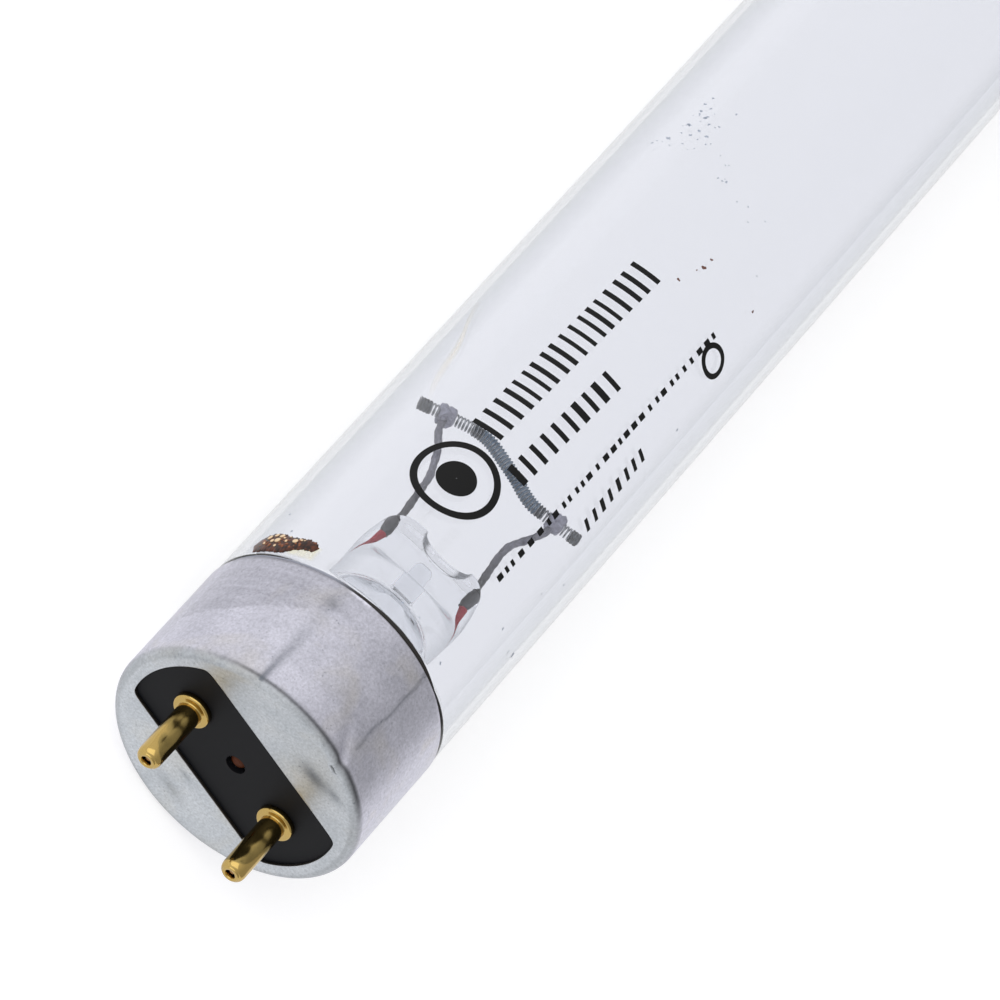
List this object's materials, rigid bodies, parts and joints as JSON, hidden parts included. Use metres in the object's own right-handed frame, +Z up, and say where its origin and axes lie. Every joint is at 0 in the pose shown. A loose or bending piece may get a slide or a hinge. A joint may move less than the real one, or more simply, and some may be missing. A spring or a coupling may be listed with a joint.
{
  "type": "uv sterilizer lamp",
  "caption": "Straight clear-glass germicidal discharge tube with two-pin aluminium caps, glass stems and cathode coils inside.",
  "frame": {"origin": "middle of the lamp, on its axis", "axes": "+X along the lamp axis towards the pictured (near) end, Y along the line of the pins, +Z up"},
  "size_m": [0.4516, 0.0256, 0.0256],
  "materials": {
    "tube_glass": "clear, gloss",
    "stem_glass": "clear, gloss",
    "cap_aluminium": "dull, mottled",
    "black_insulator": "satin",
    "basing_cement": "rough",
    "pin_brass": "polished, worn",
    "nickel_wire": "satin",
    "dumet_wire": "red oxide under glass",
    "lead_copper": "satin",
    "coated_tungsten": "matt, pale blue-grey emitter",
    "mercury": "liquid"
  },
  "bodies": {
    "root": {"glass_tube": "tube_glass", "mercury_bead": "mercury", "near_cap_shell": "cap_aluminium", "near_insulator_plate": "black_insulator", "near_basing_cement": "basing_cement", "near_stem": "stem_glass", "near_exhaust_tube": "stem_glass", "near_cathode_coil": "coated_tungsten", "near_pin_a": "pin_brass", "near_inner_lead_a": "nickel_wire", "near_dumet_seal_a": "dumet_wire", "near_outer_lead_a": "lead_copper", "near_pin_b": "pin_brass", "near_inner_lead_b": "nickel_wire", "near_dumet_seal_b": "dumet_wire", "near_outer_lead_b": "lead_copper", "far_cap_shell": "cap_aluminium", "far_insulator_plate": "black_insulator", "far_basing_cement": "basing_cement", "far_stem": "stem_glass", "far_exhaust_tube": "stem_glass", "far_cathode_coil": "coated_tungsten", "far_pin_a": "pin_brass", "far_inner_lead_a": "nickel_wire", "far_dumet_seal_a": "dumet_wire", "far_outer_lead_a": "lead_copper", "far_pin_b": "pin_brass", "far_inner_lead_b": "nickel_wire", "far_dumet_seal_b": "dumet_wire", "far_outer_lead_b": "lead_copper"}
  },
  "joints": []
}
